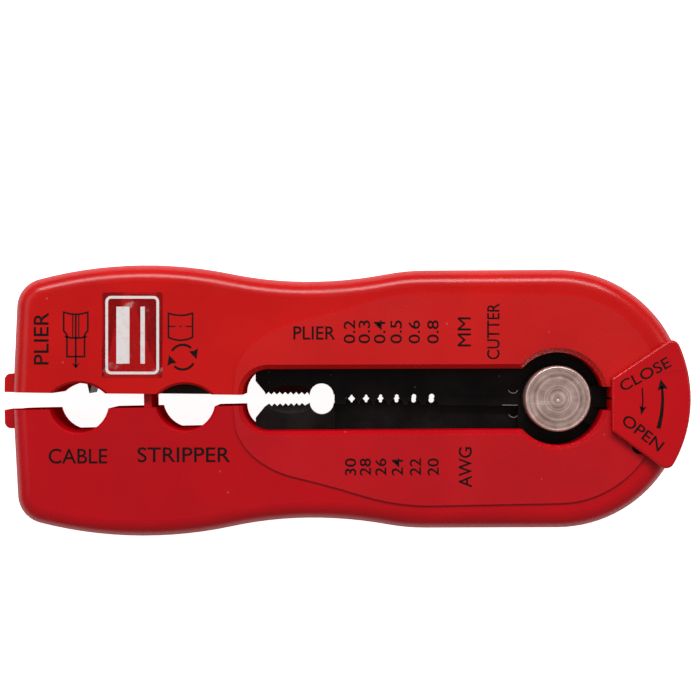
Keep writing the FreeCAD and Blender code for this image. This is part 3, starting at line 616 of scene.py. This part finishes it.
def grown(name, base_points, base_edges, tree, **values):
    """The mesh that a geometry-nodes tree makes from a few points and edges in metres."""
    mesh = bpy.data.meshes.new(name)
    mesh.from_pydata(base_points, base_edges, [])
    base = bpy.data.objects.new(name + "_base", mesh)
    bpy.context.scene.collection.objects.link(base)
    modifier = base.modifiers.new(tree.name, "NODES")
    modifier.node_group = tree
    for socket in tree.interface.items_tree:
        if socket.in_out == "INPUT" and socket.name in values:
            modifier[socket.identifier] = values[socket.name]
    result = evaluated(base)
    remove(base)
    return result


def case_screws():
    """The screws that close each half, seated in the recesses of its back shell."""
    pattern, tree = case_screw(), screw_row_tree()
    for half in ("upper", "lower"):
        node = f"{half}_case_screws"
        mesh = grown(node, screw_seats(node), [], tree, Screw=pattern, Plate=ZINC,
                     **{"Largest turn": 3.1 if half == "upper" else 1.7})
        screws = finish_piece(f"{half}_closing_screws", mesh, ZINC)
        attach(screws, f"{half}_half")
        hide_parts(node)
    remove(pattern)


def hairpin_spring():
    """Hairpin return spring: a bend round the back of the hinge and a leg into each half."""
    low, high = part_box("return_spring")
    wire = (high.z - low.z) / 2
    bend = high.x - HINGE.x - wire
    level = (low.z + high.z) / 2
    tip_x, tip_y = low.x, high.y - wire
    steps = 40
    path = [(tip_x, HINGE.y - tip_y, level)]
    for i in range(steps + 1):
        angle = math.pi * (i / steps - 0.5)
        path.append((HINGE.x + bend * math.cos(angle), HINGE.y + bend * math.sin(angle), level))
    path.append((tip_x, HINGE.y + tip_y, level))
    edges = [(i, i + 1) for i in range(len(path) - 1)]
    mesh = grown("spring", path, edges, wire_tree(), Radius=wire, Finish=MUSIC_WIRE)
    spring = finish_piece("hairpin_spring", mesh, MUSIC_WIRE, 60.0)
    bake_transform(spring)
    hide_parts("return_spring")


# ---------------------------------------------------------------- print and label

def words(text, length, height, weight=0.006):
    """Flat letters about the origin, fitted to a length and height in mm; weight thickens them."""
    font = bpy.data.curves.new("lettering", "FONT")
    font.body = text
    font.resolution_u = 5
    font.offset = weight
    holder = bpy.data.objects.new("lettering", font)
    bpy.context.scene.collection.objects.link(holder)
    mesh = evaluated(holder)
    remove(holder)
    xs = [v.co.x for v in mesh.vertices]
    ys = [v.co.y for v in mesh.vertices]
    wide, high = max(xs) - min(xs), max(ys) - min(ys)
    points = [((v.co.x - min(xs) - wide / 2) * length / wide,
               (v.co.y - min(ys) - high / 2) * height / high) for v in mesh.vertices]
    return points, [tuple(face.vertices) for face in mesh.polygons]


def ribbon(path, width=LINE_WIDTH, end_width=None, closed=False):
    """A flat line along a path in mm, of even width or tapering to another."""
    count = len(path)
    end_width = width if end_width is None else end_width
    points, faces = [], []
    for i, (x, y) in enumerate(path):
        before = path[i - 1] if closed or i else path[i]
        after = path[(i + 1) % count] if closed or i < count - 1 else path[i]
        into = Vector((x - before[0], y - before[1]))
        out = Vector((after[0] - x, after[1] - y))
        into = (into if into.length > 0 else out).normalized()
        out = (out if out.length > 0 else into).normalized()
        side = Vector((-(into + out).y, (into + out).x)).normalized()
        half = 0.5 * (width + (end_width - width) * i / max(count - 1, 1))
        half /= max(side.dot(Vector((-into.y, into.x))), 0.5)
        points += [(x - side.x * half, y - side.y * half), (x + side.x * half, y + side.y * half)]
    for i in range(count if closed else count - 1):
        k = (i + 1) % count
        faces.append((2 * i, 2 * k, 2 * k + 1, 2 * i + 1))
    return points, faces


def arrow_tip(x, y, angle, length=1.3, width=1.2, notch=0.25):
    """A solid arrow head whose point is at (x, y) and which points along the angle."""
    tip = [(0, 0), (-length, width / 2), (-length * (1 - notch), 0), (-length, -width / 2)]
    return placed((tip, [(0, 1, 2), (0, 2, 3)]), x, y, angle)


def arc_path(radius, start, end, centre=(0.0, 0.0), steps=16):
    """Points along an arc, its angles in degrees."""
    return [(centre[0] + radius * math.cos(math.radians(start + (end - start) * i / steps)),
             centre[1] + radius * math.sin(math.radians(start + (end - start) * i / steps)))
            for i in range(steps + 1)]


def placed(shape, x, y, angle=0.0):
    """The shape turned and moved in its plane."""
    c, s = math.cos(math.radians(angle)), math.sin(math.radians(angle))
    points, faces = shape
    return [(x + px * c - py * s, y + px * s + py * c) for px, py in points], faces


def raised(name, shapes, level, material, thickness=PRINT_THICKNESS, sunk=0.01):
    """Flat shapes about the hinge as one thin solid standing on a face at that level."""
    points, faces = [], []
    for shape in shapes:
        flat, flat_faces = placed(shape, 0, 0, PRINT_TURN)
        start, count = len(points), len(flat)
        at = [(HINGE.x / MM + x, HINGE.y / MM + y) for x, y in flat]
        points += [(x, y, level - sunk) for x, y in at] + [(x, y, level + thickness) for x, y in at]
        up = []
        for face in flat_faces:
            corners = [flat[i] for i in face]
            area = sum(a[0] * b[1] - b[0] * a[1] for a, b in zip(corners, corners[1:] + corners[:1]))
            up.append(face if area > 0 else tuple(reversed(face)))
        sides = {(a, b) for face in up for a, b in zip(face, face[1:] + face[:1])}
        faces += [tuple(start + i for i in reversed(face)) for face in up]
        faces += [tuple(start + count + i for i in face) for face in up]
        faces += [(start + a, start + b, start + count + b, start + count + a)
                  for a, b in sorted(sides) if (b, a) not in sides]
    return new_piece(name, points, faces, material, 30.0)


def slitting_symbol(x, y):
    """A cable end with its jacket slit lengthwise, and an arrow down along the cut."""
    jacket = [(-1.6, 1.0), (-2.2, 1.7), (-2.2, 5.1), (-1.1, 4.8), (0, 4.7), (1.1, 4.8), (2.2, 5.1),
              (2.2, 1.7), (1.6, 1.0)]
    core = [(-1.6, 1.0), (-1.6, -3.0), (1.6, -3.0), (1.6, 1.0)]
    shapes = [ribbon(jacket), ribbon(core), ribbon([(-2.0, 0.7), (-0.9, 0.4), (0.9, 0.4), (2.0, 0.7)]),
              ribbon([(-0.55, 4.6), (-0.55, 0.5)], 0.2), ribbon([(0.55, 4.6), (0.55, 0.5)], 0.2),
              ribbon([(0, 4.6), (0, -4.9)]), arrow_tip(0, -5.2, -90, 1.1, 1.5, 0.45)]
    return [placed(shape, x, y) for shape in shapes]


def ring_cut_symbol(x, y):
    """A length of cable with its cutting line, over two arrows that turn."""
    cable = ribbon([(-2.2, 2.4), (-1.1, 2.1), (0, 2.0), (1.1, 2.1), (2.2, 2.4), (2.2, -2.0),
                    (1.3, -2.35), (0, -2.55), (-1.3, -2.35), (-2.2, -2.0)], closed=True)
    dashes = [ribbon([(a, 0.0), (b, 0.0)], 0.2) for a, b in ((-2.1, -0.9), (-0.2, 0.2), (0.9, 2.1))]
    shapes = [placed(shape, x, y + 2.9) for shape in [cable, *dashes]]
    for turn in (0, 180):
        arrow = [ribbon(arc_path(2.25, 150, 48), 0.42), arrow_tip(2.5, -0.35, -72, 1.75, 1.75, 0.1)]
        shapes += [placed(shape, x + 0.4, y - 2.7, turn) for shape in arrow]
    return shapes


def upper_print():
    """Print on the upper half: symbols by the cable holes, wire sizes in mm."""
    shapes = [placed(words("PLIER", 9.5, 2.7), -94.2, 11.0, 90)]
    shapes += slitting_symbol(-87.9, 10.7) + ring_cut_symbol(-68.8, 10.3)
    border = raised("upper_border_print", shapes, BORDER_FACE, INK)
    shapes = [placed(words("PLIER", 7.6, 2.4), -44.4, 12.0)]
    rows = zip(("0.2", "0.3", "0.4", "0.5", "0.6", "0.8"), (-38.0, -35.3, -32.5, -29.5, -26.2, -22.8))
    shapes += [placed(words(text, 4.2, 2.1), x, 12.2, 90) for text, x in rows]
    shapes += [placed(words("MM", 5.3, 2.4, 0.0), -17.1, 12.2, 90),
               placed(words("CUTTER", 10.2, 2.3), -11.8, 12.3, 90)]
    panel = raised("upper_panel_print", shapes, PANEL_FACE, INK)
    for piece in (border, panel):
        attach(piece, "upper_half")


def lower_print():
    """Print on the lower half: words under the cable holes, wire gauges."""
    shapes = [placed(words("CABLE", 10.7, 2.75), -87.5, -10.45),
              placed(words("STRIPPER", 16.9, 2.75), -68.2, -10.2)]
    border = raised("lower_border_print", shapes, BORDER_FACE, INK)
    rows = zip(("30", "28", "26", "24", "22", "20"), (-37.8, -35.1, -32.3, -29.3, -26.0, -22.75))
    shapes = [placed(words(text, 3.1, 2.05), x, -12.4, 90) for text, x in rows]
    shapes.append(placed(words("AWG", 7.3, 2.4), -16.9, -12.45, 90))
    panel = raised("lower_panel_print", shapes, PANEL_FACE, INK)
    for piece in (border, panel):
        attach(piece, "lower_half")


def lever_print():
    """The two lock positions and an arrow towards each."""
    thin, thick = 15.2, 18.8
    shapes = [placed(words("CLOSE", 10.0, 2.0), 15.6, 4.5, 28),
              placed(words("OPEN", 8.6, 2.1), 15.2, -6.1, -38),
              ribbon(arc_path(thin, 7.5, -7.0), 0.26),
              placed(arrow_tip(0, 0, -101, 1.7, 1.3, 0.2), *polar(thin, -11.0)),
              ribbon(arc_path(thick, -16.5, 7.0), 0.75, 0.4),
              placed(arrow_tip(0, 0, 101, 1.9, 1.9, 0.1), *polar(thick, 11.0))]
    ink = raised("lever_print", shapes, LEVER_FACE, INK)
    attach(ink, "lock_lever")
    crease = raised("lever_crease", [ribbon([polar(20.6, 13.9), polar(23.6, 13.3)], 0.16, 0.26)],
                    LEVER_FACE, LEVER_RED, 0.05)
    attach(crease, "lock_lever")


def painted_blade_highlights():
    """Bright lips of the stamped dimples, and of the edge where the upper blade laps over: painted
    highlights on the lower rims and the lap step, where they face the light.
    """
    lip, across = 0.95, 0.12
    # Painted highlights: only the lower arcs of the dimple rims and the lap step get the bright steel,
    # where the light catches them.
    marks = {
        "upper": (UPPER_BLADE_FACE, -HALF_OPEN,
                  [ribbon(arc_path(lip, 205, 335, (-7.6, 1.75)), across),
                   ribbon([(-9.6, -1.43), (-6.75, -1.43)], across)]),
        "lower": (LOWER_BLADE_FACE, HALF_OPEN,
                  [ribbon(arc_path(lip, 205, 335, (-7.4, -2.6)), across)])}
    for half, (level, turn, shapes) in marks.items():
        shapes = [placed(shape, 0, 0, turn - PRINT_TURN) for shape in shapes]
        piece = raised(f"{half}_blade_wear", shapes, level, PAINTED_HIGHLIGHT_STEEL, 0.015)
        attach(piece, f"{half}_half")


def polar(radius, angle):
    """A point at that radius and angle, in degrees, round the hinge."""
    return radius * math.cos(math.radians(angle)), radius * math.sin(math.radians(angle))


def rounded_box(wide, high, corner, steps=5):
    """Closed outline of a box with rounded corners, about the origin."""
    path = []
    for quarter, (sx, sy) in enumerate(((1, 1), (-1, 1), (-1, -1), (1, -1))):
        centre = (sx * (wide / 2 - corner), sy * (high / 2 - corner))
        path += arc_path(corner, quarter * 90, quarter * 90 + 90, centre, steps)
    return path


def plain_label():
    """Blank clear label with a plain white frame and two ruled lines."""
    x, y, wide, high = -77.6, 11.6, 11.1, 15.6
    film_thickness, ink_thickness, margin, rule = 0.05, 0.02, 1.8, 5.2
    sheet_outline = rounded_box(wide, high, 0.5)
    film = raised("clear_label", [placed((sheet_outline, [tuple(range(len(sheet_outline)))]), x, y)],
                  BORDER_FACE, FILM, film_thickness, 0.0)
    lines = [ribbon(rounded_box(wide - margin, high - margin, 0.8), 0.5, closed=True),
             ribbon([(-1.7, -rule), (-1.7, rule)], 2.4), ribbon([(1.9, -rule), (1.9, rule)], 0.8)]
    frame_print = raised("label_frame_print", [placed(line, x, y) for line in lines],
                         BORDER_FACE + film_thickness, LABEL_INK, ink_thickness, 0.0)
    for piece in (film, frame_print):
        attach(piece, "upper_half")


# ---------------------------------------------------------------- floor, lights and camera

def pale_floor():
    """A white table that glows faintly, and more where the camera sees it directly."""
    half, cells, drop = 1.5, 8, 0.02
    points = [(-half + 2 * half * i / cells, -half + 2 * half * j / cells)
              for j in range(cells + 1) for i in range(cells + 1)]
    across = cells + 1
    faces = [(j * across + i, j * across + i + 1, (j + 1) * across + i + 1, (j + 1) * across + i)
             for j in range(cells) for i in range(cells)]
    material, tree, shader = new_material("white_table", Roughness=0.9)
    shade = between(tree, noise(tree, object_place(tree), 4.0), (0.84, 0.84, 0.84, 1),
                    (0.88, 0.88, 0.88, 1))
    tree.links.new(shade, shader["Base Color"])
    shader["Emission Color"].default_value = (1.0, 1.0, 1.0, 1)
    seen = add(tree, "ShaderNodeLightPath").outputs["Is Camera Ray"]
    tree.links.new(calc(tree, "ADD", 0.3, calc(tree, "MULTIPLY", seen, 0.65)),
                   shader["Emission Strength"])
    floor = new_piece("table_top", [(x / MM, y / MM, -drop) for x, y in points], faces, material)


def softbox(name, place, aim, wide, high, power):
    """A flat rectangular lamp at a place, aimed at a point."""
    lamp = bpy.data.lights.new(name, "AREA")
    lamp.shape, lamp.size, lamp.size_y = "RECTANGLE", wide, high
    lamp.energy = power
    box = bpy.data.objects.new(name, lamp)
    box.location = place
    box.rotation_euler = (Vector(aim) - Vector(place)).to_track_quat("-Z", "Y").to_euler()
    bpy.context.scene.collection.objects.link(box)


def studio():
    """One wide lamp behind, two small ones at the sides, and a dim even room."""
    middle = (0.0, 0.0, 0.01)
    softbox("back_softbox", (0.0, 0.37, 0.40), middle, 0.55, 0.16, 2.45)
    softbox("left_softbox", (-0.42, 0.12, 0.46), middle, 0.3, 0.3, 0.28)
    softbox("right_softbox", (0.5, 0.1, 0.40), middle, 0.25, 0.25, 0.35)
    world = bpy.data.worlds.new("soft_room")
    world.use_nodes = True
    sky = world.node_tree.nodes["Background"].inputs
    sky["Color"].default_value = (1.0, 0.99, 0.98, 1)
    sky["Strength"].default_value = 0.22
    bpy.context.scene.world = world


def camera():
    """Straight above the face, with the handle across the picture."""
    lens = bpy.data.cameras.new("above")
    lens.sensor_fit = "HORIZONTAL"
    lens.angle = math.radians(18.1)
    lens.clip_start, lens.clip_end = 0.01, 10.0
    holder = bpy.data.objects.new("above", lens)
    holder.location = (HINGE.x - 0.03786, 0.00908, 0.42)
    holder.rotation_euler = (0, 0, math.radians(PRINT_TURN))
    bpy.context.scene.collection.objects.link(holder)
    bpy.context.scene.camera = holder


hinge_pin()
hinge_nut()
case_screws()
hairpin_spring()
upper_print()
lower_print()
lever_print()
painted_blade_highlights()
plain_label()
pale_floor()
studio()
camera()
bpy.context.scene.view_settings.view_transform = "Standard"
